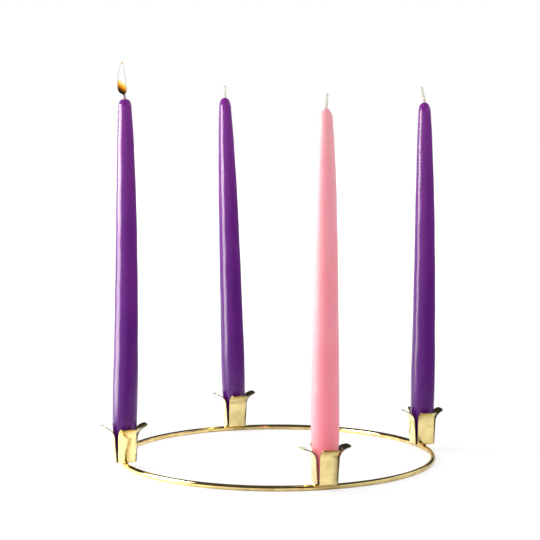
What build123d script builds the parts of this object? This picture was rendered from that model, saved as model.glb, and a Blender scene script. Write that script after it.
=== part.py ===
"""Advent candle holder: a wire hoop that carries four petal cups, each with a taper candle.

Millimetres, +Z up. The origin is the centre of the hoop on the table it rests on.
The front cup is on -Y, the right one on +X, the rear one on +Y and the left one on -X.
"""

from build123d import *
from dataclasses import dataclass
from math import asin, cos, degrees, radians, sin
import os

# Hoop of round rod, its ends butted under the rear cup
HOOP_OUTSIDE_DIAMETER = 279.4
ROD_DIAMETER = 4.76
BUTT_GAP = 0.4

# Cup: one cross-shaped sheet blank, its four arms bent up as petals and flared at the lips
SHEET = 0.8
PETAL_WIDTH = 15.0
PETAL_BULGE = 0.45
PETAL_LEAN = 3.7
BEND_INSIDE_RADIUS = 0.7
WALL_LENGTH = 20.0
FLARE_RADIUS = 9.0
LIP_RISE = 20.0
LIP_LENGTH = 2.0
LIP_CORNER_RADIUS = 1.8
SIDE_LIP_LENGTH = 3.8
SIDE_LIP_CORNER_RADIUS = 3.6
RELIEF_DIAMETER = 2.0

# Braze that joins a cup to the rod
BRAZE_FILM = 0.6
BRAZE_HALF_LENGTH = 7.0
BRAZE_HALF_WIDTH = 3.4
BRAZE_WRAP = 58.0
BRAZE_HOLLOW = 2.4

# Taper candle
FOOT_CLEARANCE = 0.6
FOOT_CHAMFER = 1.0
SWELL_LOW = 7.5
SWELL_HIGH = 15.5
BELLY_HEIGHT = 62.0
DRAW = 6.0
ROUNDING_POWER = 5
TAPER_POINTS = 7
SHOULDER_DIAMETER = 11.2
WICK_DIAMETER = 2.6
WICK_COLLAR = 0.5
WICK_BEND_RADIUS = 6.0


@dataclass
class Candle:
    """One candle: its cup's heading and side petals, its wax, how it stands and how its wick ends."""

    heading: float
    side_flare_radius: float
    side_lip_rise: float
    length: float
    belly_diameter: float
    nose_length: float
    nose_fullness: float
    pool_diameter: float
    pool_depth: float
    lean: float
    lean_heading: float
    stub: float
    stub_droop: float
    stub_heading: float


CANDLES = {
    "front": Candle(
        heading=-90.33, side_flare_radius=9.0, side_lip_rise=13,
        length=304.4, belly_diameter=23.4, nose_length=9.0, nose_fullness=0.58,
        pool_diameter=0, pool_depth=0, lean=0, lean_heading=0,
        stub=11.7, stub_droop=4, stub_heading=-17,
    ),
    "right": Candle(
        heading=1.0, side_flare_radius=9.0, side_lip_rise=30,
        length=305.0, belly_diameter=21.3, nose_length=10.5, nose_fullness=0.75,
        pool_diameter=0, pool_depth=0, lean=0, lean_heading=0,
        stub=13.4, stub_droop=13, stub_heading=163,
    ),
    "rear": Candle(
        heading=90.2, side_flare_radius=9.2, side_lip_rise=24,
        length=307.1, belly_diameter=22.0, nose_length=10.5, nose_fullness=0.72,
        pool_diameter=0, pool_depth=0, lean=1.6, lean_heading=163,
        stub=11.8, stub_droop=1.6, stub_heading=-17,
    ),
    "left": Candle(
        heading=180, side_flare_radius=10.0, side_lip_rise=25,
        length=309.8, belly_diameter=21.6, nose_length=7.0, nose_fullness=0.8,
        pool_diameter=5.2, pool_depth=0.5, lean=0.5, lean_heading=-17,
        stub=11.0, stub_droop=15, stub_heading=163,
    ),
}

# Levels and radii that follow from the sizes above
ROD_RADIUS = ROD_DIAMETER / 2
HOOP_RADIUS = HOOP_OUTSIDE_DIAMETER / 2 - ROD_RADIUS
CUP_LEVEL = ROD_DIAMETER + BRAZE_FILM
SEAT_LEVEL = CUP_LEVEL + SHEET
BEND_OUTSIDE_RADIUS = BEND_INSIDE_RADIUS + SHEET
FLOOR_HALF = PETAL_WIDTH / 2 + PETAL_BULGE
BULGE_RADIUS = ((PETAL_WIDTH / 2) ** 2 + PETAL_BULGE**2) / (2 * PETAL_BULGE)
WICK_RADIUS = WICK_DIAMETER / 2
BUTT_ANGLE = degrees(BUTT_GAP / HOOP_RADIUS)


def sheet_face(depth, flare_radius=FLARE_RADIUS, lip_rise=LIP_RISE, lip_length=LIP_LENGTH):
    """The line of the sheet's outer face, or of a face that lies depth inside it."""
    floor = Line((0, depth), (FLOOR_HALF, depth))
    bend = JernArc(floor @ 1, floor % 1, BEND_OUTSIDE_RADIUS - depth, 90 - PETAL_LEAN)
    wall = Line(bend @ 1, bend @ 1 + (bend % 1) * WALL_LENGTH)
    flare = JernArc(wall @ 1, wall % 1, flare_radius + depth, lip_rise + PETAL_LEAN - 90)
    lip = Line(flare @ 1, flare @ 1 + (flare % 1) * lip_length)
    return floor, bend, wall, flare, lip


def petal(corner_radius, *flare):
    """One arm of the blank from the middle of the floor to the lip, flared as given, facing +X."""
    outside, inside = sheet_face(0, *flare), sheet_face(SHEET, *flare)
    ends = [Line(outside[0] @ 0, inside[0] @ 0), Line(outside[-1] @ 1, inside[-1] @ 1)]
    section = Plane.XZ * make_face([*outside, *inside, *ends])
    middle = Axis((FLOOR_HALF - BULGE_RADIUS, 0, 0), (0, 0, 1))
    reach = (outside[-1] @ 1).X
    swing = degrees(asin(PETAL_WIDTH / BULGE_RADIUS))
    swept = revolve(section.rotate(middle, -swing), middle, 2 * swing)
    arm = swept & Pos(reach / 2, 0, 0) * Box(2 * reach, PETAL_WIDTH, 4 * WALL_LENGTH)
    tip = arm.faces().sort_by(Axis.X)[-1]
    corners = tip.edges().filter_by(lambda edge: abs(edge.length - SHEET) < SHEET / 4)
    return fillet(corners, corner_radius)


def cup(candle):
    """The cup of a candle, its floor's underside at the origin and its side petals facing +X and -X."""
    side_flare = candle.side_flare_radius, candle.side_lip_rise, SIDE_LIP_LENGTH
    side_arm, end_arm = petal(SIDE_LIP_CORNER_RADIUS, *side_flare), petal(LIP_CORNER_RADIUS)
    blank = side_arm + [Rot(Z=180) * side_arm, Rot(Z=90) * end_arm, Rot(Z=-90) * end_arm]
    corner = PETAL_WIDTH / 2
    relief = Cylinder(RELIEF_DIAMETER / 2, 4 * BEND_OUTSIDE_RADIUS)
    return blank - [Pos(x, y, 0) * relief for x in (-corner, corner) for y in (-corner, corner)]


def hoop_sweep(section, start, arc):
    """A section drawn about the rod's centre, carried round the hoop from start through arc."""
    placed = Pos(HOOP_RADIUS, 0, ROD_RADIUS) * (Plane.XZ * section)
    return revolve(placed.rotate(Axis.Z, start), Axis.Z, arc)


def braze(heading):
    """The fillets on both sides of the rod and the film over it, under the cup at a heading."""
    wrap_x, wrap_z = ROD_RADIUS * sin(radians(BRAZE_WRAP)), ROD_RADIUS * cos(radians(BRAZE_WRAP))
    top = ROD_RADIUS + BRAZE_FILM
    bed = Line((-BRAZE_HALF_WIDTH, top), (BRAZE_HALF_WIDTH, top))
    saddle = ThreePointArc((-wrap_x, wrap_z), (0, ROD_RADIUS), (wrap_x, wrap_z))
    right = RadiusArc((BRAZE_HALF_WIDTH, top), (wrap_x, wrap_z), -BRAZE_HOLLOW)
    left = RadiusArc((-wrap_x, wrap_z), (-BRAZE_HALF_WIDTH, top), -BRAZE_HOLLOW)
    half = degrees(BRAZE_HALF_LENGTH / HOOP_RADIUS)
    return hoop_sweep(make_face([bed, right, saddle, left]), heading - half, 2 * half)


def foot_line():
    """Radius and height, over the seat, of the foot's lower and upper ends inside the petals."""
    inside = sheet_face(SHEET)[2]
    return [(point.X - FOOT_CLEARANCE, point.Y - SHEET) for point in (inside @ 0, inside @ 1)]


def taper_radius(candle, share):
    """Radius at a share of the way from belly to shoulder: an even draw, rounded near the top."""
    fall = candle.belly_diameter - SHOULDER_DIAMETER
    return (candle.belly_diameter - DRAW * share - (fall - DRAW) * share**ROUNDING_POWER) / 2


def wax(candle):
    """The dipped wax, standing on the origin, with its bore for the wick."""
    (foot_radius, foot_low), (throat_radius, throat) = foot_line()
    shoulder = candle.length - candle.nose_length
    shares = [step / (TAPER_POINTS - 1) for step in range(TAPER_POINTS)]
    taper = Spline(*[
        (taper_radius(candle, share), BELLY_HEIGHT + (shoulder - BELLY_HEIGHT) * share)
        for share in shares
    ])
    pulls = [((taper @ 0).X, throat + rise) for rise in (SWELL_HIGH, SWELL_LOW)]
    swell = Bezier(taper @ 0, *pulls, (throat_radius, throat))
    rim = max(candle.pool_diameter / 2, WICK_RADIUS + WICK_COLLAR)
    root = shoulder + candle.nose_length * candle.nose_fullness
    nose = Bezier(taper @ 1, ((taper @ 1).X, root), (rim, candle.length))
    base_radius = foot_radius - FOOT_CHAMFER
    outline = Polyline(
        swell @ 1, (foot_radius, FOOT_CHAMFER + foot_low), (base_radius, 0), (0, 0),
        (0, candle.length - candle.pool_depth), nose @ 1,
    )
    body = revolve(Plane.XZ * make_face([taper, swell, outline, nose]), Axis.Z)
    bore = Cylinder(WICK_RADIUS, 3 * candle.length)
    return body - bore


def wick(candle):
    """The cotton wick: straight through the wax, bent where it leaves it and straight to its end."""
    core = Line((0, 0), (0, candle.length))
    bend = JernArc(core @ 1, core % 1, WICK_BEND_RADIUS, -candle.stub_droop)
    stub = Line(bend @ 1, bend @ 1 + (bend % 1) * candle.stub)
    return Rot(Z=candle.stub_heading) * sweep(Circle(WICK_RADIUS), Plane.XZ * (core + bend + stub))


def stand(candle):
    """Where a candle stands: in its cup, leaning about the middle of its foot, on the floor."""
    (foot_radius, _), (_, throat) = foot_line()
    pivot = throat / 2
    lean = radians(candle.lean)
    lift = (foot_radius - FOOT_CHAMFER) * sin(lean) - pivot * (1 - cos(lean))
    turn = Rot(Z=candle.lean_heading) * Rot(Y=candle.lean) * Rot(Z=-candle.lean_heading)
    seat = Rot(Z=candle.heading) * Pos(HOOP_RADIUS, 0, 0)
    return Pos(*seat.position) * Pos(0, 0, SEAT_LEVEL + pivot + lift) * turn * Pos(0, 0, -pivot)


rod = Circle(ROD_RADIUS)
butt = CANDLES["rear"].heading
parts = {"hoop": hoop_sweep(rod, butt + BUTT_ANGLE / 2, 360 - BUTT_ANGLE)}
parts["butt_joint"] = hoop_sweep(rod, butt - BUTT_ANGLE / 2, BUTT_ANGLE)
for side, candle in CANDLES.items():
    spot = Rot(Z=candle.heading) * Pos(HOOP_RADIUS, 0, CUP_LEVEL)
    parts[f"cup_{side}"] = Pos(*spot.position) * cup(candle)
    parts[f"braze_{side}"] = braze(candle.heading)
    parts[f"candle_{side}"] = stand(candle) * wax(candle)
    parts[f"wick_{side}"] = stand(candle) * wick(candle)

os.makedirs("parts", exist_ok=True)
for name, shape in parts.items():
    export_step(shape, f"parts/{name}.step")
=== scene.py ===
"""Advent candle holder: the looks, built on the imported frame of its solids.

Metres, +Z up. The origin is the centre of the hoop on the table; the front cup is on -Y, the right one
on +X, the rear one on +Y and the left one on -X. Sizes are written in millimetres times MM.
"""

import bmesh
import bpy
import numpy as np
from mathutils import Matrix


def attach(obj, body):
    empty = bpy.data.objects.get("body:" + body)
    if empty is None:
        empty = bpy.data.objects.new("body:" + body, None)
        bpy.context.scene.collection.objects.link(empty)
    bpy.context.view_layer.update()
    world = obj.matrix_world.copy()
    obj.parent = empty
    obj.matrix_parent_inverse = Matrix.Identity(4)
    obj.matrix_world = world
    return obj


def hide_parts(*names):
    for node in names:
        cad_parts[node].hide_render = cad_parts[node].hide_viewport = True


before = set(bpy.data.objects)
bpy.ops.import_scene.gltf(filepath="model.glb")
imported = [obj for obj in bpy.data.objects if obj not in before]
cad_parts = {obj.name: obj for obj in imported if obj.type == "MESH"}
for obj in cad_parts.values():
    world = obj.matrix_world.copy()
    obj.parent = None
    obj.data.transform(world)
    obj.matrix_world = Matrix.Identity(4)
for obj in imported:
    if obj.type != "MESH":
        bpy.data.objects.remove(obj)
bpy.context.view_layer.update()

# The hoop is one length of drawn brass rod, bent to a ring, polished and lacquered. It lies on the
# table. Its two ends meet under the rear cup and are dressed back a little before they are joined.
MM = 0.001
MERGE = 0.001 * MM
UP = np.array([0.0, 0.0, 1.0])
HOOP_RADIUS = 137.32 * MM
ROD_RADIUS = 2.38 * MM
BUTT_HEADING = np.radians(90.2)
BUTT_HALF_GAP = 0.2 * MM / HOOP_RADIUS
END_DRESSING = 0.6 * MM / HOOP_RADIUS
END_DROP = 0.18 * MM
HOOP_ROWS, END_ROWS, ROD_COLUMNS = 720, 7, 40
# The rod's brass is a darker copy of the sheet's brass: painted shade that dims the hoop's reflections.
SHADED_ROD_BRASS = (0.80, 0.65, 0.30, 1)
SHADED_ROD_WARM = (0.60, 0.43, 0.17, 1)
ROD_LINES, ROD_LINE_STRETCH = 0.25 * MM, (60, 1, 1)
ROD_GLOSS = (0.03, 0.09)
CLOUD_SIZE, CLOUD_START, CLOUD_END = 8 * MM, 0.38, 0.68
LINE_DEPTH, LINE_STRENGTH = 0.05 * MM, 0.12


def grid_mesh(name, points, wrap_rows=False, wrap_columns=False, uv=None):
    """Quads between the neighbours of a grid of points [row, column, xyz].

    A wrapped direction joins its last line to its first. uv holds one value for each row line and one
    for each column line, the repeated line of a wrapped direction included.
    """
    rows, columns = points.shape[:2]
    index = np.arange(rows * columns).reshape(rows, columns)
    row_line, column_line = np.arange(rows + wrap_rows), np.arange(columns + wrap_columns)
    index = index[row_line % rows][:, column_line % columns]
    corners = [(slice(None, -1), slice(None, -1)), (slice(1, None), slice(None, -1)),
               (slice(1, None), slice(1, None)), (slice(None, -1), slice(1, None))]
    quads = np.stack([index[corner] for corner in corners], axis=-1).reshape(-1, 4)
    mesh = bpy.data.meshes.new(name)
    mesh.from_pydata(points.reshape(-1, 3).tolist(), [], quads.tolist())
    if uv is not None:
        lines = np.stack(np.meshgrid(uv[0], uv[1], indexing="ij"), axis=-1)
        loops = np.stack([lines[corner] for corner in corners], axis=2)
        layer = mesh.uv_layers.new(name="surface")
        layer.data.foreach_set("uv", loops.astype(np.float32).ravel())
    return mesh


def finished(mesh, merge=None):
    """An object of a mesh, its doubles merged where a distance is given, its faces out and smooth."""
    work = bmesh.new()
    work.from_mesh(mesh)
    if merge:
        bmesh.ops.remove_doubles(work, verts=work.verts, dist=merge)
        bmesh.ops.dissolve_degenerate(work, edges=work.edges, dist=merge)
    bmesh.ops.recalc_face_normals(work, faces=work.faces)
    work.to_mesh(mesh)
    work.free()
    mesh.polygons.foreach_set("use_smooth", np.ones(len(mesh.polygons), dtype=bool))
    piece = bpy.data.objects.new(mesh.name, mesh)
    bpy.context.scene.collection.objects.link(piece)
    return piece


def level_direction(heading):
    """Level unit vector, or vectors, at a heading: its cosine along X and its sine along Y."""
    return np.stack([np.cos(heading), np.sin(heading), np.zeros_like(heading)], axis=-1)


def once_round(columns):
    """Even angles once round a circle, without the last that would repeat the first."""
    return np.linspace(0, 2 * np.pi, columns, endpoint=False)


def rod_surface():
    """The rod: a circle carried round the ring, drawn in by a square curve where its ends are dressed.

    Each end closes on the middle of its face with a last row of no size.
    """
    start, stop = BUTT_HEADING + BUTT_HALF_GAP, BUTT_HEADING + 2 * np.pi - BUTT_HALF_GAP
    even = np.linspace(start + END_DRESSING, stop - END_DRESSING, HOOP_ROWS)
    near = END_DRESSING * (1 - np.cos(np.linspace(0, np.pi / 2, END_ROWS)[:-1]))
    turn = np.concatenate([[start], start + near, even, (stop - near)[::-1], [stop]])
    inset = np.clip(1 - np.minimum(turn - start, stop - turn) / END_DRESSING, 0, 1)
    size = ROD_RADIUS - END_DROP * inset**2
    size[[0, -1]] = 0
    around = once_round(ROD_COLUMNS)
    across = size[:, None] * np.cos(around)
    rise = ROD_RADIUS + size[:, None] * np.sin(around)
    points = (HOOP_RADIUS + across)[..., None] * level_direction(turn)[:, None] + rise[..., None] * UP
    uv = turn * HOOP_RADIUS, np.linspace(0, 2 * np.pi, ROD_COLUMNS + 1) * ROD_RADIUS
    return grid_mesh("hoop_rod", points, wrap_columns=True, uv=uv)


def new_finish(name, **sockets):
    """A material of one Principled shader; the sockets given here hold one value all over."""
    material = bpy.data.materials.new(name)
    material.use_nodes = True
    tree = material.node_tree
    shader = tree.nodes["Principled BSDF"]
    for socket, value in sockets.items():
        shader.inputs[socket.replace("_", " ")].default_value = value
    return material, tree, shader


def add(tree, kind, links=(), **values):
    """A node of a kind. values set its sockets or its own settings; links are (socket, source)."""
    node = tree.nodes.new("ShaderNode" + kind)
    for key, value in values.items():
        if hasattr(node, key):
            setattr(node, key, value)
        else:
            node.inputs[key.replace("_", " ")].default_value = value
    for socket, source in links:
        tree.links.new(source, node.inputs[socket])
    return node


def blotches(tree, source, size, stretch=(1, 1, 1), detail=3.0):
    """Noise whose patches are about one size across, in metres, longer where stretch is over one."""
    scale = [1 / (size * part) for part in stretch]
    mapping = add(tree, "Mapping", [("Vector", source)], Scale=scale)
    noise = add(tree, "TexNoise", [("Vector", mapping.outputs["Vector"])], Scale=1.0, Detail=detail)
    return noise.outputs["Fac"]


def spread(tree, source, low, high, start=0.3, end=0.7):
    """A value that runs from low to high while the source runs from start to end, and stays there."""
    ranged = add(tree, "MapRange", [("Value", source)],
                 From_Min=start, From_Max=end, To_Min=low, To_Max=high)
    return ranged.outputs["Result"]


def tinted(tree, source, *stops):
    """Colour stops (place, colour) read along a value."""
    ramp = add(tree, "ValToRGB", [("Fac", source)])
    elements = ramp.color_ramp.elements
    for extra in stops[2:]:
        elements.new(extra[0])
    for element, (place, colour) in zip(elements, sorted(stops)):
        element.position, element.color = place, colour
    return ramp.outputs["Color"]


def raised(tree, height, strength, depth, under=None):
    """The normal of a surface raised by a pattern of some depth, over another normal if one is given."""
    links = [("Height", height)] if under is None else [("Height", height), ("Normal", under)]
    return add(tree, "Bump", links, Strength=strength, Distance=depth).outputs["Normal"]


def dress(tree, shader, colour, roughness, normal):
    """The shader's colour, roughness and normal, which vary over the surface, get their sources."""
    for socket, source in (("Base Color", colour), ("Roughness", roughness), ("Normal", normal)):
        tree.links.new(source, shader.inputs[socket])


def brass_finish(name, coordinates, lines, line_stretch, gloss, bright, warm):
    """Polished brass: warm cloudy patches, gloss that varies a little, and fine lines of its drawing."""
    material, tree, shader = new_finish(name, Metallic=1.0)
    place = add(tree, "TexCoord")
    cloud = blotches(tree, place.outputs["Object"], CLOUD_SIZE, detail=4.0)
    grain = blotches(tree, place.outputs[coordinates], lines, line_stretch, detail=5.0)
    colour = tinted(tree, cloud, (CLOUD_START, bright), (CLOUD_END, warm))
    dress(tree, shader, colour, spread(tree, grain, *gloss),
          raised(tree, grain, LINE_STRENGTH, LINE_DEPTH))
    return material


hoop = finished(rod_surface(), merge=MERGE)
hoop.data.materials.append(brass_finish("drawn brass rod", "UV", ROD_LINES, ROD_LINE_STRETCH, ROD_GLOSS,
                                        SHADED_ROD_BRASS, SHADED_ROD_WARM))
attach(hoop, "holder")
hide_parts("hoop")

# The butt joint is the thin film of brazing metal that fills the gap between the rod's ends. It is
# a little browner than the rod and left dull, since it is hardly reached by the polishing wheel.
BRAZE_GOLD = (0.72, 0.50, 0.20, 1)
BRAZE_BROWN = (0.33, 0.15, 0.05, 1)
BRAZE_GLOSS = (0.42, 0.2)
SCORCH_SIZE, SCORCH_FADE = 2.2 * MM, 0.16
PIT_SIZE, PIT_DEPTH, PIT_STRENGTH = 0.5 * MM, 0.15 * MM, 0.35
BUTT_SCORCH = 0.55


def braze_finish(name, scorch):
    """Brazing metal: brown where a noise is under the scorch value and gold over it, pitted and dull."""
    material, tree, shader = new_finish(name, Metallic=1.0)
    place = add(tree, "TexCoord")
    spots = blotches(tree, place.outputs["Object"], SCORCH_SIZE, detail=4.0)
    pits = blotches(tree, place.outputs["Object"], PIT_SIZE)
    colour = tinted(tree, spots, (scorch, BRAZE_BROWN), (scorch + SCORCH_FADE, BRAZE_GOLD))
    dress(tree, shader, colour, spread(tree, spots, *BRAZE_GLOSS),
          raised(tree, pits, PIT_STRENGTH, PIT_DEPTH))
    return material


butt_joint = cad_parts["butt_joint"]
butt_joint.data.materials.clear()
butt_joint.data.materials.append(braze_finish("butt joint filler", BUTT_SCORCH))

# A cup is a cross of brass sheet with a round relief hole in each inner corner. Its four arms are
# bent up as petals, crowned a little across, and flared at the lips; the press leaves them wavy.
HEADINGS = {"front": -90.33, "right": 1.0, "rear": 90.2, "left": 180}
CUP_LEVEL = 5.36 * MM
SHEET = 0.8 * MM
PETAL_HALF = 7.5 * MM
PETAL_BULGE = 0.45 * MM
FLOOR_HALF = PETAL_HALF + PETAL_BULGE
BULGE_RADIUS = (PETAL_HALF**2 + PETAL_BULGE**2) / (2 * PETAL_BULGE)
RELIEF_RADIUS = 1.0 * MM
BEND_RADIUS = 1.1 * MM
WALL_SLOPE = 86.3
WALL_LENGTH = 20.0 * MM
END_LIP, SIDE_LIP = (2.0 * MM, 1.8 * MM), (3.8 * MM, 3.6 * MM)
END_FLARE = (9.4 * MM, 20)
SIDE_FLARES = {"front": (9.4 * MM, 13), "right": (9.4 * MM, 30),
               "rear": (9.6 * MM, 24), "left": (10.4 * MM, 25)}
FLOOR_ROWS, HOLE_ROWS, WALL_ROWS, CORNER_ROWS, PETAL_COLUMNS = 12, 22, 74, 9, 41
LINE_STEPS = 6000
WAVES, WAVE_HEIGHT, WAVE_GROWTH = 5, 0.07 * MM, 6 * MM
WAVE_REACH, WAVE_SHIFT = (3.2, 2.6, 1), 6
PRESSING_SEED = 7
PETAL_MERGE = 0.002 * MM
EDGE_ROUNDING, EDGE_STEPS, EDGE_ANGLE = 0.16 * MM, 3, np.radians(50)
SHEET_BRASS = (0.87, 0.73, 0.33, 1)
SHEET_WARM = (0.74, 0.58, 0.25, 1)
SHEET_LINES, SHEET_LINE_STRETCH = 0.6 * MM, (1, 1, 4)
SHEET_GLOSS = (0.07, 0.19)
# The sheet's cut edges, on the solidified rim, get a dark brown copy of the brass: painted shade and
# dark reflection along the thin edges.
EDGE_SHADE_BROWN = (0.34, 0.27, 0.14, 1)
EDGE_SHADE_DARK = (0.20, 0.16, 0.09, 1)
SHEARED_LINES, SHEARED_LINE_STRETCH = 0.5 * MM, (1, 1, 1)
SHEARED_GLOSS = (0.3, 0.5)


def sheet_joints(flare, lip_length):
    """Lengths along an arm where floor, bend, wall, flare and lip begin and end, and the slopes there.

    An arc is as long as its radius times its turn; flare is the radius of the flare and the slope of
    the lip.
    """
    radius, rise = flare
    stretches = [FLOOR_HALF, BEND_RADIUS * np.radians(WALL_SLOPE), WALL_LENGTH,
                 radius * np.radians(WALL_SLOPE - rise), lip_length]
    slopes = np.radians([0, 0, WALL_SLOPE, WALL_SLOPE, rise, rise])
    return np.concatenate([[0], np.cumsum(stretches)]), slopes


def sheet_line(along, joints, slopes):
    """Distance out and height of the sheet's middle at a length along an arm.

    The slope runs straight from one end of each stretch to the other, so floor, wall and lip are flat
    and bend and flare are arcs; the line is the running sum of the slope's cosine and sine.
    """
    fine = np.linspace(0, joints[-1], LINE_STEPS)
    slope = np.interp(fine, joints, slopes)
    between = slope[:-1] + np.diff(slope) / 2
    step = fine[1]
    out = np.concatenate([[0], np.cumsum(np.cos(between)) * step])
    rise = np.concatenate([[0], np.cumsum(np.sin(between)) * step])
    return np.interp(along, fine, out), np.interp(along, fine, rise)


def arm_rows(end, lip_corner):
    """Lengths along an arm and its half width there.

    From the floor's centre the half width grows with the length, goes round the relief hole, stays
    even up the petal and goes round the lip's corner.
    """
    hole = np.radians(np.linspace(-45, 90, HOLE_ROWS))
    corner = np.radians(np.linspace(0, 90, CORNER_ROWS))
    floor = np.linspace(0, PETAL_HALF - RELIEF_RADIUS * np.sqrt(0.5), FLOOR_ROWS)[:-1]
    round_hole = PETAL_HALF + RELIEF_RADIUS * np.sin(hole)
    wall = np.linspace(round_hole[-1], end - lip_corner, WALL_ROWS)[1:-1]
    along = np.concatenate([floor, round_hole, wall, end - lip_corner * (1 - np.sin(corner))])
    half = np.concatenate([floor, PETAL_HALF - RELIEF_RADIUS * np.cos(hole),
                           np.full(len(wall), PETAL_HALF),
                           PETAL_HALF - lip_corner * (1 - np.cos(corner))])
    return along, half


def petal_points(flare, lip, waves):
    """One arm of the sheet's middle surface, facing +X, its floor's middle at the origin.

    The petal is the bent line swung about an upright axis far inside, which crowns it; sine waves of
    random direction then push it out and in, more towards the lip and not at all on the floor.
    """
    joints, slopes = sheet_joints(flare, lip[0])
    along, half = arm_rows(joints[-1], lip[1])
    out, rise = sheet_line(along, joints, slopes)
    across = half[:, None] * np.linspace(-1, 1, PETAL_COLUMNS)
    arm = out - FLOOR_HALF + BULGE_RADIUS
    crown = np.clip((along - PETAL_HALF + RELIEF_RADIUS) / (2 * RELIEF_RADIUS), 0, 1)[:, None]
    x = out[:, None] + crown * (np.sqrt(arm[:, None] ** 2 - across**2) - arm[:, None])
    points = np.stack([x, across, np.broadcast_to(rise[:, None], x.shape)], axis=-1)
    normal = np.cross(np.gradient(points, axis=1), np.gradient(points, axis=0))
    normal /= np.maximum(np.linalg.norm(normal, axis=-1, keepdims=True), 1e-12)
    wide, long, strength = waves.T[:, :, None, None]
    phase = (wide * across + long * along[:, None]) / PETAL_HALF
    push = (WAVE_HEIGHT * strength * np.sin(phase + WAVE_SHIFT * strength)).sum(axis=0)
    grown = np.clip((along - FLOOR_HALF) / WAVE_GROWTH, 0, 1)[:, None]
    return points + (push * grown)[..., None] * normal


def turned(points, angle):
    """Points turned about the upright axis."""
    cos, sin = np.cos(angle), np.sin(angle)
    return points @ np.array([[cos, sin, 0], [-sin, cos, 0], [0, 0, 1]])


def cup_centre(side):
    """Where a cup's axis meets the table: out along its heading by the hoop's radius."""
    return HOOP_RADIUS * level_direction(np.radians(HEADINGS[side]))


pressing = np.random.default_rng(PRESSING_SEED)
brass_sheet = brass_finish("polished brass sheet", "Object", SHEET_LINES, SHEET_LINE_STRETCH,
                           SHEET_GLOSS, SHEET_BRASS, SHEET_WARM)
# The cut edges get the dark brown copy of the brass: painted shade along them.
shaded_edge = brass_finish("brass edge with painted shade", "Object", SHEARED_LINES, SHEARED_LINE_STRETCH,
                            SHEARED_GLOSS, EDGE_SHADE_BROWN, EDGE_SHADE_DARK)
for side in HEADINGS:
    middle = cup_centre(side) + (CUP_LEVEL + SHEET / 2) * UP
    joined = bmesh.new()
    for quarter in range(4):
        waves = pressing.uniform(-1, 1, (WAVES, 3)) * WAVE_REACH
        flare, lip = (END_FLARE, END_LIP) if quarter % 2 else (SIDE_FLARES[side], SIDE_LIP)
        petal = turned(petal_points(flare, lip, waves), np.radians(90 * quarter))
        joined.from_mesh(grid_mesh("petal", petal + middle))
    mesh = bpy.data.meshes.new(f"cup_{side}_petals")
    joined.to_mesh(mesh)
    joined.free()
    cup = finished(mesh, merge=PETAL_MERGE)
    wall = cup.modifiers.new("sheet", "SOLIDIFY")
    wall.thickness, wall.offset, wall.use_even_offset, wall.material_offset_rim = SHEET, 0, True, 1
    edge = cup.modifiers.new("edges", "BEVEL")
    edge.width, edge.segments = EDGE_ROUNDING, EDGE_STEPS
    edge.limit_method, edge.angle_limit = "ANGLE", EDGE_ANGLE
    cup.data.materials.append(brass_sheet)
    cup.data.materials.append(shaded_edge)
    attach(cup, "holder")
    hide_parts(f"cup_{side}")

# Braze holds each cup to the rod: a film on top of the rod that runs out into a hollow fillet on
# both sides, uneven where it froze and scorched brown by the torch.
BRAZE_FILM = 0.6 * MM
BRAZE_HALF_LENGTH = 7.0 * MM
BRAZE_HALF_WIDTH = 3.4 * MM
BRAZE_WRAP = np.radians(58)
BRAZE_END_SHARE = 0.45
FILLET_HOLLOW = 2.2
LUMPS, LUMP_STARTS = ((0.12, 3.1), (0.08, 7.3)), (0, 6)
BRAZE_ROWS, FILLET_COLUMNS, SADDLE_COLUMNS, BED_COLUMNS = 48, 13, 25, 9
BRAZE_SCORCH = 0.46


def braze_surface(heading, starts):
    """The braze under a cup: a section carried along the rod, narrowing towards both ends.

    The section goes from the cup's floor down a hollow curve to the rod, back over the rod and up the
    other hollow curve. Slow sine lumps along the rod vary its width.
    """
    along = BRAZE_HALF_LENGTH * np.sin(np.linspace(-np.pi / 2, np.pi / 2, BRAZE_ROWS))
    share = along / BRAZE_HALF_LENGTH
    narrow = BRAZE_END_SHARE + (1 - BRAZE_END_SHARE) * np.sqrt(np.maximum(1 - share**4, 0))
    uneven = 1 + sum(size * np.sin(waves * share + start) for (size, waves), start in zip(LUMPS, starts))
    wrap = (BRAZE_WRAP * narrow * uneven)[:, None]
    width = (BRAZE_HALF_WIDTH * narrow * uneven)[:, None]
    top = ROD_RADIUS + BRAZE_FILM
    foot_x, foot_z = ROD_RADIUS * np.sin(wrap), ROD_RADIUS * np.cos(wrap)
    down = np.linspace(0, 1, FILLET_COLUMNS)
    right_x = width + (foot_x - width) * (1 - (1 - down) ** FILLET_HOLLOW)
    right_z = top + (foot_z - top) * down**FILLET_HOLLOW
    over = wrap * np.linspace(1, -1, SADDLE_COLUMNS)[1:-1]
    saddle_x, saddle_z = ROD_RADIUS * np.sin(over), ROD_RADIUS * np.cos(over)
    bed = width * np.linspace(-1, 1, BED_COLUMNS)[1:-1]
    x = np.concatenate([right_x, saddle_x, -right_x[:, ::-1], bed], axis=1)
    z = np.concatenate([right_z, saddle_z, right_z[:, ::-1], np.full_like(bed, top)], axis=1)
    outward = level_direction(heading + along / HOOP_RADIUS)[:, None]
    points = (HOOP_RADIUS + x)[..., None] * outward + (ROD_RADIUS + z)[..., None] * UP
    ends = points[[0, -1]].mean(axis=1, keepdims=True) + np.zeros_like(points[[0, -1]])
    return np.concatenate([ends[:1], points, ends[1:]])


braze_metal = braze_finish("torch-scorched braze", BRAZE_SCORCH)
for side, heading in HEADINGS.items():
    points = braze_surface(np.radians(heading), pressing.uniform(*LUMP_STARTS, len(LUMPS)))
    braze = finished(grid_mesh(f"braze_{side}_fillet", points, wrap_columns=True), merge=MERGE)
    braze.data.materials.append(braze_metal)
    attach(braze, "holder")
    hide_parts(f"braze_{side}")

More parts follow.
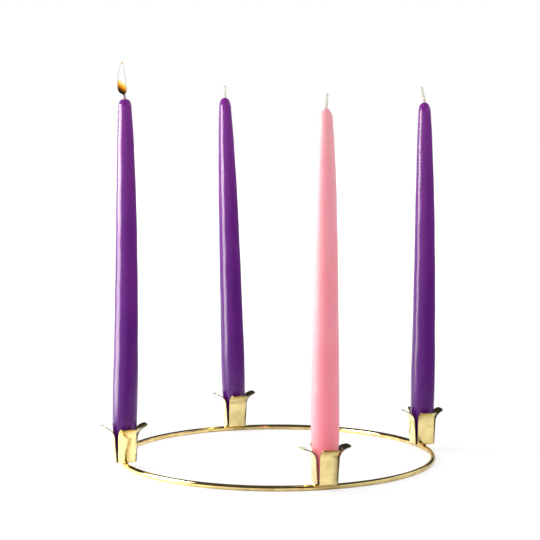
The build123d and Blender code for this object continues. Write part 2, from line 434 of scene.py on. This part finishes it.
# A candle is dyed paraffin, dipped in layers round its wick: a long taper over a full belly, with a
# foot drawn in to go down between the petals. The lit one has burnt a shallow pool at its top.
SEAT_LEVEL = CUP_LEVEL + SHEET
FOOT = np.array([(7.05, 0), (8.05, 1.65), (9.34, 20.6)]) * MM
FOOT_TOP = FOOT[2, 1]
SWELL_LOW, SWELL_HIGH = 7.5 * MM, 15.5 * MM
BELLY_HEIGHT = 62 * MM
DRAW, DRAW_POWER = 6.0 * MM, 5
SHOULDER_DIAMETER = 11.2 * MM
WICK_RADIUS = 1.3 * MM
WICK_COLLAR = 0.5 * MM
MENISCUS, MENISCUS_POWER, POOL_POWER = 0.45 * MM, 4, 1.6
FOOT_ROWS = (5, 4, 10)
SWELL_ROWS, TAPER_ROWS, NOSE_ROWS, POOL_ROWS, BORE_ROWS, CANDLE_COLUMNS = 32, 80, 28, 8, 12, 96
DIP_WAVE, DIP_GROWTH, DIP_THINNEST, DIP_FADE = 0.05 * MM, 30 * MM, 2 * MM, 5 * MM
DIPS, DIP_STARTS = ((2, 90), (3, -160)), (0, 6)
BOW_HEADING = np.radians(-17)
CANDLES = {
    "front": dict(length=304.4, belly=23.4, nose=9.0, fullness=0.58, pool=0, dish=0, bow=0,
                  lean=0, towards=0, stub=11.7, droop=4, droop_to=-17),
    "right": dict(length=305.0, belly=21.3, nose=10.5, fullness=0.85, pool=0, dish=0, bow=1.2,
                  lean=0, towards=0, stub=13.4, droop=13, droop_to=163),
    "rear": dict(length=307.1, belly=22.0, nose=10.5, fullness=0.85, pool=0, dish=0, bow=0.3,
                 lean=1.6, towards=163, stub=11.8, droop=1.6, droop_to=-17),
    "left": dict(length=309.8, belly=21.6, nose=7.0, fullness=0.8, pool=5.2, dish=0.5, bow=1.6,
                 lean=0.5, towards=-17, stub=11.0, droop=15, droop_to=163),
}
# Between these heights the wax runs from dark at the foot to pale at the tip: painted shade low down by
# the cups and painted light towards the tip.
SHADE_GRADIENT_LOW, SHADE_GRADIENT_HIGH = 40 * MM, 310 * MM
DYE_CLOUD, DYE_CLOUD_STRETCH, DYE_UNEVEN = 16 * MM, (1, 1, 2.5), (-0.15, 0.15)
SKIN_SIZE, SKIN_STRETCH, SKIN_DEPTH, SKIN_STRENGTH = 5 * MM, (1, 1, 1.6), 0.1 * MM, 0.025
PORE_SIZE, PORE_DEPTH, PORE_STRENGTH = 0.7 * MM, 0.04 * MM, 0.015
WAX_DEPTH = 3.0 * MM


def candle_outline(candle):
    """Radius and height of the wax from the wick's bore at the foot to the bore at the top.

    Straight foot, a cubic Bezier out to the belly, an even draw with a fifth power that rounds it in
    towards the shoulder, a quadratic Bezier nose, and a small meniscus of wax that climbs the wick.
    """
    length, belly, nose = candle["length"] * MM, candle["belly"] * MM / 2, candle["nose"] * MM
    shoulder = length - nose
    corners = [(WICK_RADIUS, 0), *FOOT]
    foot = np.concatenate([np.linspace(start, end, rows)[:-1]
                           for start, end, rows in zip(corners, corners[1:], FOOT_ROWS)])
    run = np.linspace(0, 1, SWELL_ROWS)[:-1, None]
    low, high = np.array([belly, FOOT_TOP + SWELL_LOW]), np.array([belly, FOOT_TOP + SWELL_HIGH])
    swell = (1 - run) ** 3 * FOOT[2] + 3 * run * (1 - run) ** 2 * low + 3 * run**2 * (1 - run) * high \
        + run**3 * np.array([belly, BELLY_HEIGHT])
    share = np.linspace(0, 1, TAPER_ROWS)[:-1]
    drop = DRAW * share + (2 * belly - SHOULDER_DIAMETER - DRAW) * share**DRAW_POWER
    taper = np.stack([belly - drop / 2, BELLY_HEIGHT + (shoulder - BELLY_HEIGHT) * share], axis=1)
    rim = max(candle["pool"] * MM / 2, WICK_RADIUS + WICK_COLLAR)
    bend = np.linspace(0, 1, NOSE_ROWS)[:, None]
    first = np.array([SHOULDER_DIAMETER / 2, shoulder])
    pull = np.array([SHOULDER_DIAMETER / 2, shoulder + nose * candle["fullness"]])
    crest = (1 - bend) ** 2 * first + 2 * bend * (1 - bend) * pull + bend**2 * np.array([rim, length])
    climb = np.linspace(0, 1, POOL_ROWS)[1:]
    inner = np.stack([WICK_RADIUS + (rim - WICK_RADIUS) * (1 - climb) ** POOL_POWER,
                      length - candle["dish"] * MM * climb + MENISCUS * climb**MENISCUS_POWER], axis=1)
    bore = np.linspace((WICK_RADIUS, inner[-1, 1]), (WICK_RADIUS, 0), BORE_ROWS)[1:-1]
    return np.concatenate([foot, swell, taper, crest, inner, bore])


def bowed(height, candle):
    """Sideways drift of a candle's middle line: half a sine wave, nothing at foot and tip."""
    share = np.clip((height - FOOT_TOP) / (candle["length"] * MM - FOOT_TOP), 0, 1)
    return (candle["bow"] * MM * np.sin(np.pi * share))[..., None] * level_direction(BOW_HEADING)


def stood(points, side):
    """Points of a straight candle on the origin, bowed and moved to where it stands in its cup.

    It leans about the middle of its foot, and is lifted until the low side of its foot is on the floor.
    """
    candle = CANDLES[side]
    lean, towards = np.radians(candle["lean"]), np.radians(candle["towards"])
    pivot = FOOT_TOP / 2 * UP
    lift = FOOT[0, 0] * np.sin(lean) - pivot[2] * (1 - np.cos(lean))
    tip = np.array([[np.cos(lean), 0, -np.sin(lean)], [0, 1, 0], [np.sin(lean), 0, np.cos(lean)]])
    bent = points + bowed(points[..., 2], candle)
    leaned = turned(turned(bent - pivot, -towards) @ tip, towards) + pivot
    return leaned + cup_centre(side) + (SEAT_LEVEL + lift) * UP


def wax_surface(side, starts):
    """The wax: its outline turned about the wick, with slow sine swells left by the dipping.

    The swells grow in over the foot, and fade where the wax is thin.
    """
    radius, height = candle_outline(CANDLES[side]).T
    around = once_round(CANDLE_COLUMNS)
    free = np.clip((height - FOOT_TOP) / DIP_GROWTH, 0, 1) \
        * np.clip((radius - DIP_THINNEST) / DIP_FADE, 0, 1)
    swell = sum(np.sin(waves * around + start + climb * height[:, None])
                for (waves, climb), start in zip(DIPS, starts))
    size = radius[:, None] + DIP_WAVE * free[:, None] * swell
    points = np.stack([size * np.cos(around), size * np.sin(around),
                       np.broadcast_to(height[:, None], size.shape)], axis=-1)
    return grid_mesh(f"candle_{side}_wax", stood(points, side), wrap_rows=True, wrap_columns=True)


def worked(tree, operation, first, second):
    """One value worked out of two sources; the second may also be a plain number."""
    if isinstance(second, float):
        node = add(tree, "Math", [(0, first)], operation=operation)
        node.inputs[1].default_value = second
    else:
        node = add(tree, "Math", [(0, first), (1, second)], operation=operation)
    return node.outputs["Value"]


def height_share(tree, place, low, high):
    """How far up a place is, from 0 at the low height to 1 at the high one."""
    split = add(tree, "SeparateXYZ", [("Vector", place.outputs["Object"])])
    return spread(tree, split.outputs["Z"], 0, 1, low, high)


def wax_finish(name, low, middle, tip, depth, index, specular, gloss, bloom):
    """Dyed paraffin: light enters and scatters a little way, the skin is glossy under a pale bloom.

    The colour goes from low to middle to tip up the candle, darker at the foot and paler at the tip,
    with cloudy steps: painted shade by the cups and painted light at the top.
    """
    material, tree, shader = new_finish(
        name, Subsurface_Weight=0.45, Subsurface_Radius=depth, Subsurface_Scale=WAX_DEPTH,
        Specular_IOR_Level=specular, IOR=index, Sheen_Weight=bloom, Sheen_Roughness=0.5)
    place = add(tree, "TexCoord")
    cloud = blotches(tree, place.outputs["Object"], DYE_CLOUD, DYE_CLOUD_STRETCH)
    skin = blotches(tree, place.outputs["Object"], SKIN_SIZE, SKIN_STRETCH, detail=2.0)
    pores = blotches(tree, place.outputs["Object"], PORE_SIZE)
    rise = worked(tree, "ADD", height_share(tree, place, SHADE_GRADIENT_LOW, SHADE_GRADIENT_HIGH),
                  spread(tree, cloud, *DYE_UNEVEN))
    swells = raised(tree, skin, SKIN_STRENGTH, SKIN_DEPTH)
    dress(tree, shader, tinted(tree, rise, (0.0, low), (0.4, middle), (1.0, tip)),
          spread(tree, pores, *gloss), raised(tree, pores, PORE_STRENGTH, PORE_DEPTH, under=swells))
    return material


# Each wax's low, middle and tip colours step from painted shade at the foot to painted light at the tip.
violet_wax = wax_finish("violet dipped wax", low=(0.086, 0.0040, 0.160, 1),
                        middle=(0.110, 0.0060, 0.194, 1), tip=(0.188, 0.0190, 0.250, 1),
                        depth=(1.0, 0.4, 1.0), index=1.44, specular=0.42, gloss=(0.19, 0.25), bloom=0.03)
pink_wax = wax_finish("pink dipped wax", low=(0.95, 0.20, 0.275, 1),
                      middle=(0.95, 0.255, 0.33, 1), tip=(0.95, 0.37, 0.42, 1),
                      depth=(1.0, 0.5, 0.45), index=1.6, specular=1.0, gloss=(0.64, 0.74), bloom=0.5)
for side in CANDLES:
    wax = finished(wax_surface(side, pressing.uniform(*DIP_STARTS, len(DIPS))))
    wax.data.materials.append(pink_wax if side == "front" else violet_wax)
    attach(wax, f"{side}_candle")
    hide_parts(f"candle_{side}")

# A wick is a round braid of waxed cotton yarn that runs the candle's whole length. The stub bends over
# a little; on the lit candle it is charred black, and brown where it comes out of the pool.
BRAID_YARNS = 4
BRAID_PITCH = 4.2 * MM
BRAID_DEPTH = 0.1
BRAID_HIDDEN = 2 * MM
WICK_BEND = 6.0 * MM
WICK_END, WICK_END_DRAW = 0.6 * MM, 0.7
HIDDEN_ROWS, SHOWN_ROWS, WICK_COLUMNS = 24, 150, 40
FIBRE_SIZE, FIBRE_STRETCH, FIBRE_DEPTH, FIBRE_STRENGTH = 0.3 * MM, (1, 1, 5), 0.1 * MM, 0.1
FIBRE_UNEVEN, FIBRE_GLOSS = (-0.12, 0.12), (0.55, 0.8)
LIGHT_THROUGH = 0.45
COTTON_ROOT = (0.84, 0.80, 0.76, 1)
COTTON = (0.84, 0.83, 0.77, 1)
COTTON_LOW, COTTON_HIGH = 311 * MM, 325 * MM
CHAR_ROOT = (0.70, 0.52, 0.58, 1)
CHAR = (0.03, 0.02, 0.015, 1)
CHAR_TIP = (0.02, 0.012, 0.01, 1)
CHAR_LOW, CHAR_HIGH = 319.2 * MM, 323 * MM


def wick_surface(side):
    """The braid: a tube along the wick's line, its radius raised along crossing helices.

    The line is straight to the top of the wax, then an arc and straight again; the radius is the
    higher of two sets of sine ridges that wind round it in opposite ways, and closes at both ends.
    """
    candle = CANDLES[side]
    top, droop = candle["length"] * MM, np.radians(candle["droop"])
    braided, end = top - BRAID_HIDDEN, top + WICK_BEND * droop + candle["stub"] * MM
    hidden = np.linspace(0, braided, HIDDEN_ROWS)[:-1]
    along = np.concatenate([[0], hidden, np.linspace(braided, end, SHOWN_ROWS), [end]])
    bend = np.clip((along - top) / WICK_BEND, 0, droop)
    straight = np.clip(along - top - WICK_BEND * droop, 0, None)
    line_x = WICK_BEND * (1 - np.cos(bend)) + straight * np.sin(droop)
    line_z = np.minimum(along, top) + WICK_BEND * np.sin(bend) + straight * np.cos(droop)
    around = once_round(WICK_COLUMNS)
    wind = 2 * np.pi * along[:, None] / BRAID_PITCH
    yarns = BRAID_YARNS / 2 * around
    ridges = np.maximum(np.sin(yarns + wind), np.sin(yarns - wind))
    size = WICK_RADIUS * (1 - BRAID_DEPTH * (1 - ridges) / 2 * (along > braided)[:, None])
    to_end = np.clip((end - along) / WICK_END, 0, 1)
    size *= np.sqrt(1 - (1 - to_end) ** 2 * WICK_END_DRAW)[:, None]
    size[[0, -1]] = 0
    across, side_on = size * np.cos(around), size * np.sin(around)
    points = np.stack([line_x[:, None] + across * np.cos(bend)[:, None], side_on,
                       line_z[:, None] - across * np.sin(bend)[:, None]], axis=-1)
    points = stood(turned(points, np.radians(candle["droop_to"])), side)
    return grid_mesh(f"wick_{side}_braid", points, wrap_columns=True)


def wick_finish(name, root, body, tip, low, high):
    """Waxed cotton: root, body and tip colours by height, fine fibres, a dull skin, and some light
    that passes through the yarn."""
    material, tree, shader = new_finish(name, Specular_IOR_Level=0.3)
    place = add(tree, "TexCoord")
    fibres = blotches(tree, place.outputs["Object"], FIBRE_SIZE, FIBRE_STRETCH, detail=4.0)
    rise = worked(tree, "ADD", height_share(tree, place, low, high), spread(tree, fibres, *FIBRE_UNEVEN))
    colour = tinted(tree, rise, (0.0, root), (0.3, body), (1.0, tip))
    normal = raised(tree, fibres, FIBRE_STRENGTH, FIBRE_DEPTH)
    dress(tree, shader, colour, spread(tree, fibres, *FIBRE_GLOSS), normal)
    through = add(tree, "BsdfTranslucent", [("Color", colour), ("Normal", normal)])
    both = add(tree, "MixShader", [(1, shader.outputs["BSDF"]), (2, through.outputs["BSDF"])],
               Fac=LIGHT_THROUGH)
    tree.links.new(both.outputs["Shader"], tree.nodes["Material Output"].inputs["Surface"])
    return material


cotton = wick_finish("waxed cotton wick", COTTON_ROOT, COTTON, COTTON, COTTON_LOW, COTTON_HIGH)
charred = wick_finish("charred wick", CHAR_ROOT, CHAR, CHAR_TIP, CHAR_LOW, CHAR_HIGH)
for side in CANDLES:
    wick = finished(wick_surface(side), merge=MERGE)
    wick.data.materials.append(charred if side == "left" else cotton)
    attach(wick, f"{side}_candle")
    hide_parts(f"wick_{side}")

# The flame stands round the charred wick: no solid, a thin glowing teardrop of gas, dark and then
# orange where it leaves the wick, yellow above that and almost clear to its tip.
FLAME_LEVEL = 320.4 * MM
FLAME_HEIGHT = np.array([0, 0.3, 1.3, 3.0, 5.5, 8.9, 13.1, 17.9, 23.2, 25.8, 26.7, 27.0]) * MM
FLAME_RADIUS = np.array([0, 1.7, 2.9, 3.65, 3.85, 3.65, 3.3, 2.75, 1.7, 1.05, 0.6, 0]) * MM
FLAME_SWAY = np.array([-1.5, -1.5, -1.7, -2.0, -2.3, -2.6, -2.7, -2.7, -2.5, -2.4, -2.4, -2.4]) * MM
FLAME_HEADING = np.radians(-17)
FLAME_ROWS, FLAME_COLUMNS = 64, 48
GLOW_SLANT, GLOW_SWAY = 0.7, -2.6 * MM
GLOW_UP = GLOW_SLANT * level_direction(FLAME_HEADING) + UP
GLOW = ((0.08, (0.012, 0.008, 0.006, 1)), (0.13, (0.12, 0.04, 0.01, 1)), (0.19, (0.50, 0.16, 0.012, 1)),
        (0.25, (1.0, 0.40, 0.025, 1)), (0.31, (1.0, 0.70, 0.12, 1)), (0.37, (1.0, 0.92, 0.45, 1)),
        (0.43, (1, 1, 0.96, 1)), (0.94, (1, 1, 0.98, 1)), (0.97, (0.85, 0.42, 0.08, 1)))
DENSITY = ((0.0, 0.97), (0.26, 0.95), (0.37, 0.7), (0.46, 0.15), (0.94, 0.15), (0.97, 0.8))
SHEATH_GREY = (0.40, 0.38, 0.36, 1)
SHEATH_START, SHEATH_END = 0.4, 0.9
wick_root = stood(CANDLES["left"]["length"] * MM * UP, "left")
flame_foot = np.array([wick_root[0], wick_root[1], FLAME_LEVEL])


def flame_surface():
    """A teardrop: radius and sway read along the height, turned about the swaying line."""
    share = np.linspace(0, 1, FLAME_ROWS)
    knots = np.linspace(0, 1, len(FLAME_HEIGHT))
    height, radius, sway = (np.interp(share, knots, values)[:, None]
                            for values in (FLAME_HEIGHT, FLAME_RADIUS, FLAME_SWAY))
    around = once_round(FLAME_COLUMNS)
    x, y = sway + radius * np.cos(around), radius * np.sin(around)
    points = turned(np.stack([x, y, np.broadcast_to(height, x.shape)], axis=-1), FLAME_HEADING)
    return grid_mesh("flame", points + flame_foot, wrap_columns=True)


def reach_along(tree, place, direction):
    """How far a place lies along a direction: their dot product."""
    node = add(tree, "VectorMath", [(0, place)], operation="DOT_PRODUCT")
    node.inputs[1].default_value = direction
    return node.outputs["Value"]


def either(tree, share, first, second):
    """The first shader where share is 0, the second where it is 1, and a mix between."""
    return add(tree, "MixShader", [("Fac", share), (1, first.outputs[0]), (2, second.outputs[0])])


def flame_finish():
    """Glowing gas: colour and density read along a slanted height, and a thin grey sheath at its rim."""
    material = bpy.data.materials.new("candle flame")
    material.use_nodes = True
    tree = material.node_tree
    tree.nodes.clear()
    place = add(tree, "TexCoord")
    foot = GLOW_UP @ (flame_foot + GLOW_SWAY * level_direction(FLAME_HEADING))
    rise = spread(tree, reach_along(tree, place.outputs["Object"], GLOW_UP), 0, 1,
                  foot, foot + FLAME_HEIGHT[-1])
    greys = [(stop, (value, value, value, 1)) for stop, value in DENSITY]
    body = add(tree, "Emission", [("Color", tinted(tree, rise, *GLOW))], Strength=1.0)
    gas = either(tree, tinted(tree, rise, *greys), add(tree, "BsdfTransparent"), body)
    facing = add(tree, "LayerWeight", Blend=0.5)
    rim = spread(tree, facing.outputs["Facing"], 0, 1, SHEATH_START, SHEATH_END)
    edged = either(tree, rim, gas, add(tree, "BsdfTransparent", Color=SHEATH_GREY))
    out = add(tree, "OutputMaterial", [("Surface", edged.outputs["Shader"])])
    out.is_active_output = True
    material.cycles.emission_sampling = "NONE"
    return material


flame = finished(flame_surface(), merge=MERGE)
flame.data.materials.append(flame_finish())
flame.visible_shadow = False
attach(flame, "left_candle")

# The table is a wide sheet of plain white card. To the eye it is white, with the shadow of the holder
# on it. Brass and wax mirror it with painted light and shade: brighter at the back left than on the
# right, with a painted shade spot inside the hoop, a painted light spot by the right cup, a narrow
# painted dark wedge in front, and the card's near edge.
CAMERA_HEADING = np.radians(16.706)
VIEW_LEFT = np.array([-np.cos(CAMERA_HEADING), np.sin(CAMERA_HEADING), 0])
VIEW_NEAR = np.array([-np.sin(CAMERA_HEADING), -np.cos(CAMERA_HEADING), 0])
TABLE_HALF = 6.0
CARD_WHITE = (0.8, 0.8, 0.8, 1)
SHADOWED_GREY = (0.25, 0.25, 0.25, 1)
SHADOW_LIFT = dict(low=0.75, high=1.0, start=0.4, end=1.2)
FAR_CARD = dict(low=0, high=1, start=0.2, end=0.5)
DARKER_RIGHT = dict(low=0.15, high=1.0, start=-0.35, end=0.5)
BACK_LEFT = np.array([-1, 1, 0]) / np.sqrt(2)
# Painted light in mirrors: the card is mirrored brighter at the back left, as a pool of light on it.
BRIGHTER_BACK = dict(low=0.9, high=1.32, start=-0.03, end=0.01)
# Painted shade and painted light in mirrors: a darker spot inside the hoop and a brighter one by the
# right cup.
PAINTED_SHADE_SPOT = np.array([20, 85, 0]) * MM
PAINTED_SHADE_FADE = dict(low=0.48, high=1.0, start=0.02, end=0.085)
PAINTED_LIGHT_SPOT = np.array([105, 65, 0]) * MM
PAINTED_LIGHT_FADE = dict(low=1.5, high=1.0, start=0.02, end=0.05)
# A narrow wedge of painted shade, seen only in mirrors, darkens the card in front of the front cup.
SHADE_WEDGE_FOOT = np.array([16, -160, 0]) * MM
SHADE_WEDGE_ALONG = np.array([0.486, -0.874, 0])
SHADE_WEDGE_ACROSS = np.array([0.874, 0.486, 0])
SHADE_WEDGE_LEFT = dict(low=0, high=1, start=-0.009, end=0.001)
SHADE_WEDGE_RIGHT = dict(low=1, high=0, start=0.015, end=0.035)
SHADE_WEDGE_LENGTH = dict(low=0, high=0.6, start=-0.005, end=0.01)
CARD_GLOW = 0.08
CARD_EDGE, CARD_EDGE_AWAY = 0.51 * VIEW_LEFT + 0.86 * VIEW_NEAR, 0.23


def reach_from(tree, place, point):
    """How far a place is from a point."""
    node = add(tree, "VectorMath", [(0, place)], operation="DISTANCE")
    node.inputs[1].default_value = point
    return node.outputs["Value"]


def product(tree, first, *others):
    """All the sources multiplied."""
    for other in others:
        first = worked(tree, "MULTIPLY", first, other)
    return first


def painted_wedge_shade(tree, place):
    """1 on the card, less on a painted dark wedge of shade: it starts at its foot and has two soft
    edges.
    """
    from_foot = add(tree, "VectorMath", [(0, place)], operation="SUBTRACT")
    from_foot.inputs[1].default_value = SHADE_WEDGE_FOOT
    along = reach_along(tree, from_foot.outputs["Vector"], SHADE_WEDGE_ALONG)
    across = reach_along(tree, from_foot.outputs["Vector"], SHADE_WEDGE_ACROSS)
    dark_wedge = product(tree, spread(tree, across, **SHADE_WEDGE_LEFT), spread(tree, across, **SHADE_WEDGE_RIGHT),
                   spread(tree, along, **SHADE_WEDGE_LENGTH))
    return spread(tree, dark_wedge, 1, 0, 0, 1)


def mirrored_card(tree, place):
    """How bright brass and wax mirror the card, with painted light and shade: near the holder the
    product of the two spots, the dark wedge and the brighter back left; far from it a value that falls
    from left to right."""
    distance = reach_from(tree, place, (0, 0, 0))
    near = product(tree, spread(tree, reach_from(tree, place, PAINTED_SHADE_SPOT), **PAINTED_SHADE_FADE),
                   spread(tree, reach_from(tree, place, PAINTED_LIGHT_SPOT), **PAINTED_LIGHT_FADE),
                   painted_wedge_shade(tree, place),
                   spread(tree, reach_along(tree, place, BACK_LEFT), **BRIGHTER_BACK))
    leftness = worked(tree, "DIVIDE", reach_along(tree, place, VIEW_LEFT), distance)
    mix = add(tree, "Mix", [("Factor", spread(tree, distance, **FAR_CARD)), ("A", near),
                            ("B", spread(tree, leftness, **DARKER_RIGHT))])
    return mix.outputs["Result"]


def glowing(tree, card, strength):
    """Card that scatters light and also glows with a strength."""
    glow = add(tree, "Emission", [("Strength", strength)])
    return add(tree, "AddShader", [(0, card.outputs["BSDF"]), (1, glow.outputs["Emission"])])


def white_card():
    """White card: it scatters light as card does, and where it is looked at it is lifted to white, so
    that only the shadow shows. In mirrors it has its mirrored brightness, and is open past its edge."""
    material, tree, shader = new_finish("white card", Base_Color=CARD_WHITE, Roughness=0.9,
                                        Specular_IOR_Level=0.0)
    path = add(tree, "LightPath")
    place = add(tree, "TexCoord").outputs["Object"]
    lift = spread(tree, reach_from(tree, place, (0, 0, 0)), **SHADOW_LIFT)
    shown = glowing(tree, add(tree, "BsdfDiffuse", Color=SHADOWED_GREY), lift)
    brightness = mirrored_card(tree, place)
    glossy = glowing(tree, add(tree, "BsdfDiffuse", [("Color", brightness)]),
                     worked(tree, "MULTIPLY", brightness, CARD_GLOW))
    past_edge = worked(tree, "GREATER_THAN", reach_along(tree, place, CARD_EDGE), CARD_EDGE_AWAY)
    edged = either(tree, past_edge, glossy, add(tree, "BsdfTransparent"))
    in_mirrors = either(tree, path.outputs["Is Glossy Ray"], shader, edged)
    seen = worked(tree, "MAXIMUM", path.outputs["Is Camera Ray"], path.outputs["Is Transmission Ray"])
    final = either(tree, seen, in_mirrors, shown)
    tree.links.new(final.outputs["Shader"], tree.nodes["Material Output"].inputs["Surface"])
    return material


corner_lines = np.array([-TABLE_HALF, TABLE_HALF])
table_points = np.stack([*np.meshgrid(corner_lines, corner_lines), np.zeros((2, 2))], axis=-1)
table = finished(grid_mesh("table", table_points))
table.data.materials.append(white_card())

# The studio round it is plain white to the eye, and gives an even fill of light. Brass and wax mirror
# it as a dark room with a pale horizon, soft glows low on the left and higher on the right, and a
# faint one overhead.
FILL_STRENGTH = 0.9
HORIZON_ROUND = dict(low=0.3, high=1.0, start=-0.7, end=-0.2)
HORIZON_RISE = dict(low=1.0, high=0.03, start=0.09, end=0.21)
LEFT_ROUND = dict(low=0, high=1, start=0.45, end=0.8)
LEFT_RISE = dict(low=1, high=0, start=0.12, end=0.26)
RIGHT_ROUND = dict(low=1.15, high=0, start=-0.75, end=-0.45)
RIGHT_RISE = dict(low=0, high=1, start=0.1, end=0.22)
RIGHT_TOP = dict(low=1, high=0, start=0.55, end=0.7)
OVERHEAD = dict(low=0, high=0.08, start=0.45, end=0.8)
SKYLINE = dict(low=0, high=1, start=-0.02, end=0.02)


def studio_room():
    """The world: white to the camera, an even fill to dull surfaces, and in mirrors a sum of glows.

    Each glow is a product of values that run with how far to the left and how far up a ray goes. Below
    the skyline the room goes on as the far card does.
    """
    world = bpy.data.worlds.new("studio")
    world.use_nodes = True
    sky = world.node_tree
    sky.nodes.clear()
    path = add(sky, "LightPath")
    ray = add(sky, "TexCoord").outputs["Generated"]
    up = add(sky, "SeparateXYZ", [("Vector", ray)]).outputs["Z"]
    left = reach_along(sky, ray, VIEW_LEFT)
    glow = product(sky, spread(sky, left, **HORIZON_ROUND), spread(sky, up, **HORIZON_RISE))
    for more in (product(sky, spread(sky, left, **LEFT_ROUND), spread(sky, up, **LEFT_RISE)),
                 product(sky, spread(sky, left, **RIGHT_ROUND), spread(sky, up, **RIGHT_RISE),
                         spread(sky, up, **RIGHT_TOP)),
                 spread(sky, up, **OVERHEAD)):
        glow = worked(sky, "ADD", glow, more)
    brightness = add(sky, "Mix", [("Factor", spread(sky, up, **SKYLINE)),
                                  ("A", spread(sky, left, **DARKER_RIGHT)), ("B", glow)])
    room = add(sky, "Background", [("Strength", brightness.outputs["Result"])], Color=(1, 1, 1, 1))
    fill = add(sky, "Background", Color=(1, 1, 1, 1), Strength=FILL_STRENGTH)
    white = add(sky, "Background", Color=(1, 1, 1, 1), Strength=1.0)
    mirrored = worked(sky, "MAXIMUM", path.outputs["Is Glossy Ray"], path.outputs["Is Transmission Ray"])
    shown = either(sky, path.outputs["Is Camera Ray"], either(sky, mirrored, fill, room), white)
    add(sky, "OutputWorld", [("Surface", shown.outputs["Shader"])])
    return world


bpy.context.scene.world = studio_room()

# Four lamps stand round the table. Two softboxes, at the back left and on the left, light the holder and
# are not seen in its gloss; two strips on the left are seen in the gloss alone, as long highlights.
LAMPS = {
    "back softbox": dict(turn=115, rise=34, away=1.2, size=(0.7, 0.7), power=7, upright=False,
                         gloss=False, colour=(1, 1, 1)),
    "left softbox": dict(turn=80, rise=19.7, away=0.8, size=(0.45, 0.55), power=4.0, upright=True,
                         gloss=False, colour=(1, 1, 1)),
    "lower strip": dict(turn=82, rise=12.53, away=0.461, size=(0.25, 0.2), power=2.3, upright=True,
                        gloss=True, colour=(1.0, 0.96, 0.84)),
    "upper strip": dict(turn=82, rise=33.69, away=0.5408, size=(0.3, 0.2), power=4.33, upright=True,
                        gloss=True, colour=(1.0, 0.98, 0.82)),
}
for name, lamp in LAMPS.items():
    light = bpy.data.lights.new(name, "AREA")
    light.shape, light.energy, light.color = "RECTANGLE", lamp["power"], lamp["colour"]
    light.size, light.size_y = lamp["size"]
    heading, rise = CAMERA_HEADING + np.radians(180 + lamp["turn"]), np.radians(lamp["rise"])
    level = np.array([np.sin(heading), np.cos(heading), 0])
    stand = bpy.data.objects.new(name, light)
    stand.location = lamp["away"] * (np.cos(rise) * level + np.sin(rise) * UP)
    stand.rotation_euler = (np.pi / 2 - rise * (not lamp["upright"]), 0, np.pi - heading)
    stand.visible_camera = False
    stand.visible_glossy, stand.visible_diffuse = lamp["gloss"], not lamp["gloss"]
    bpy.context.scene.collection.objects.link(stand)

# The camera stands in front, a little to the left and a little higher than the candles, and looks down
# at the holder through a long lens.
CAMERA_PLACE = np.array([-510.05, -1678.12, 353.08]) * MM
CAMERA_PITCH = np.radians(-6.067)
CAMERA_LENS, SENSOR_WIDTH = 134.68, 36
lens = bpy.data.cameras.new("camera")
lens.lens, lens.sensor_width = CAMERA_LENS, SENSOR_WIDTH
camera = bpy.data.objects.new("camera", lens)
camera.location = CAMERA_PLACE
camera.rotation_euler = (np.pi / 2 + CAMERA_PITCH, 0, -CAMERA_HEADING)
bpy.context.scene.collection.objects.link(camera)
bpy.context.scene.camera = camera
bpy.context.scene.view_settings.view_transform = "Standard"
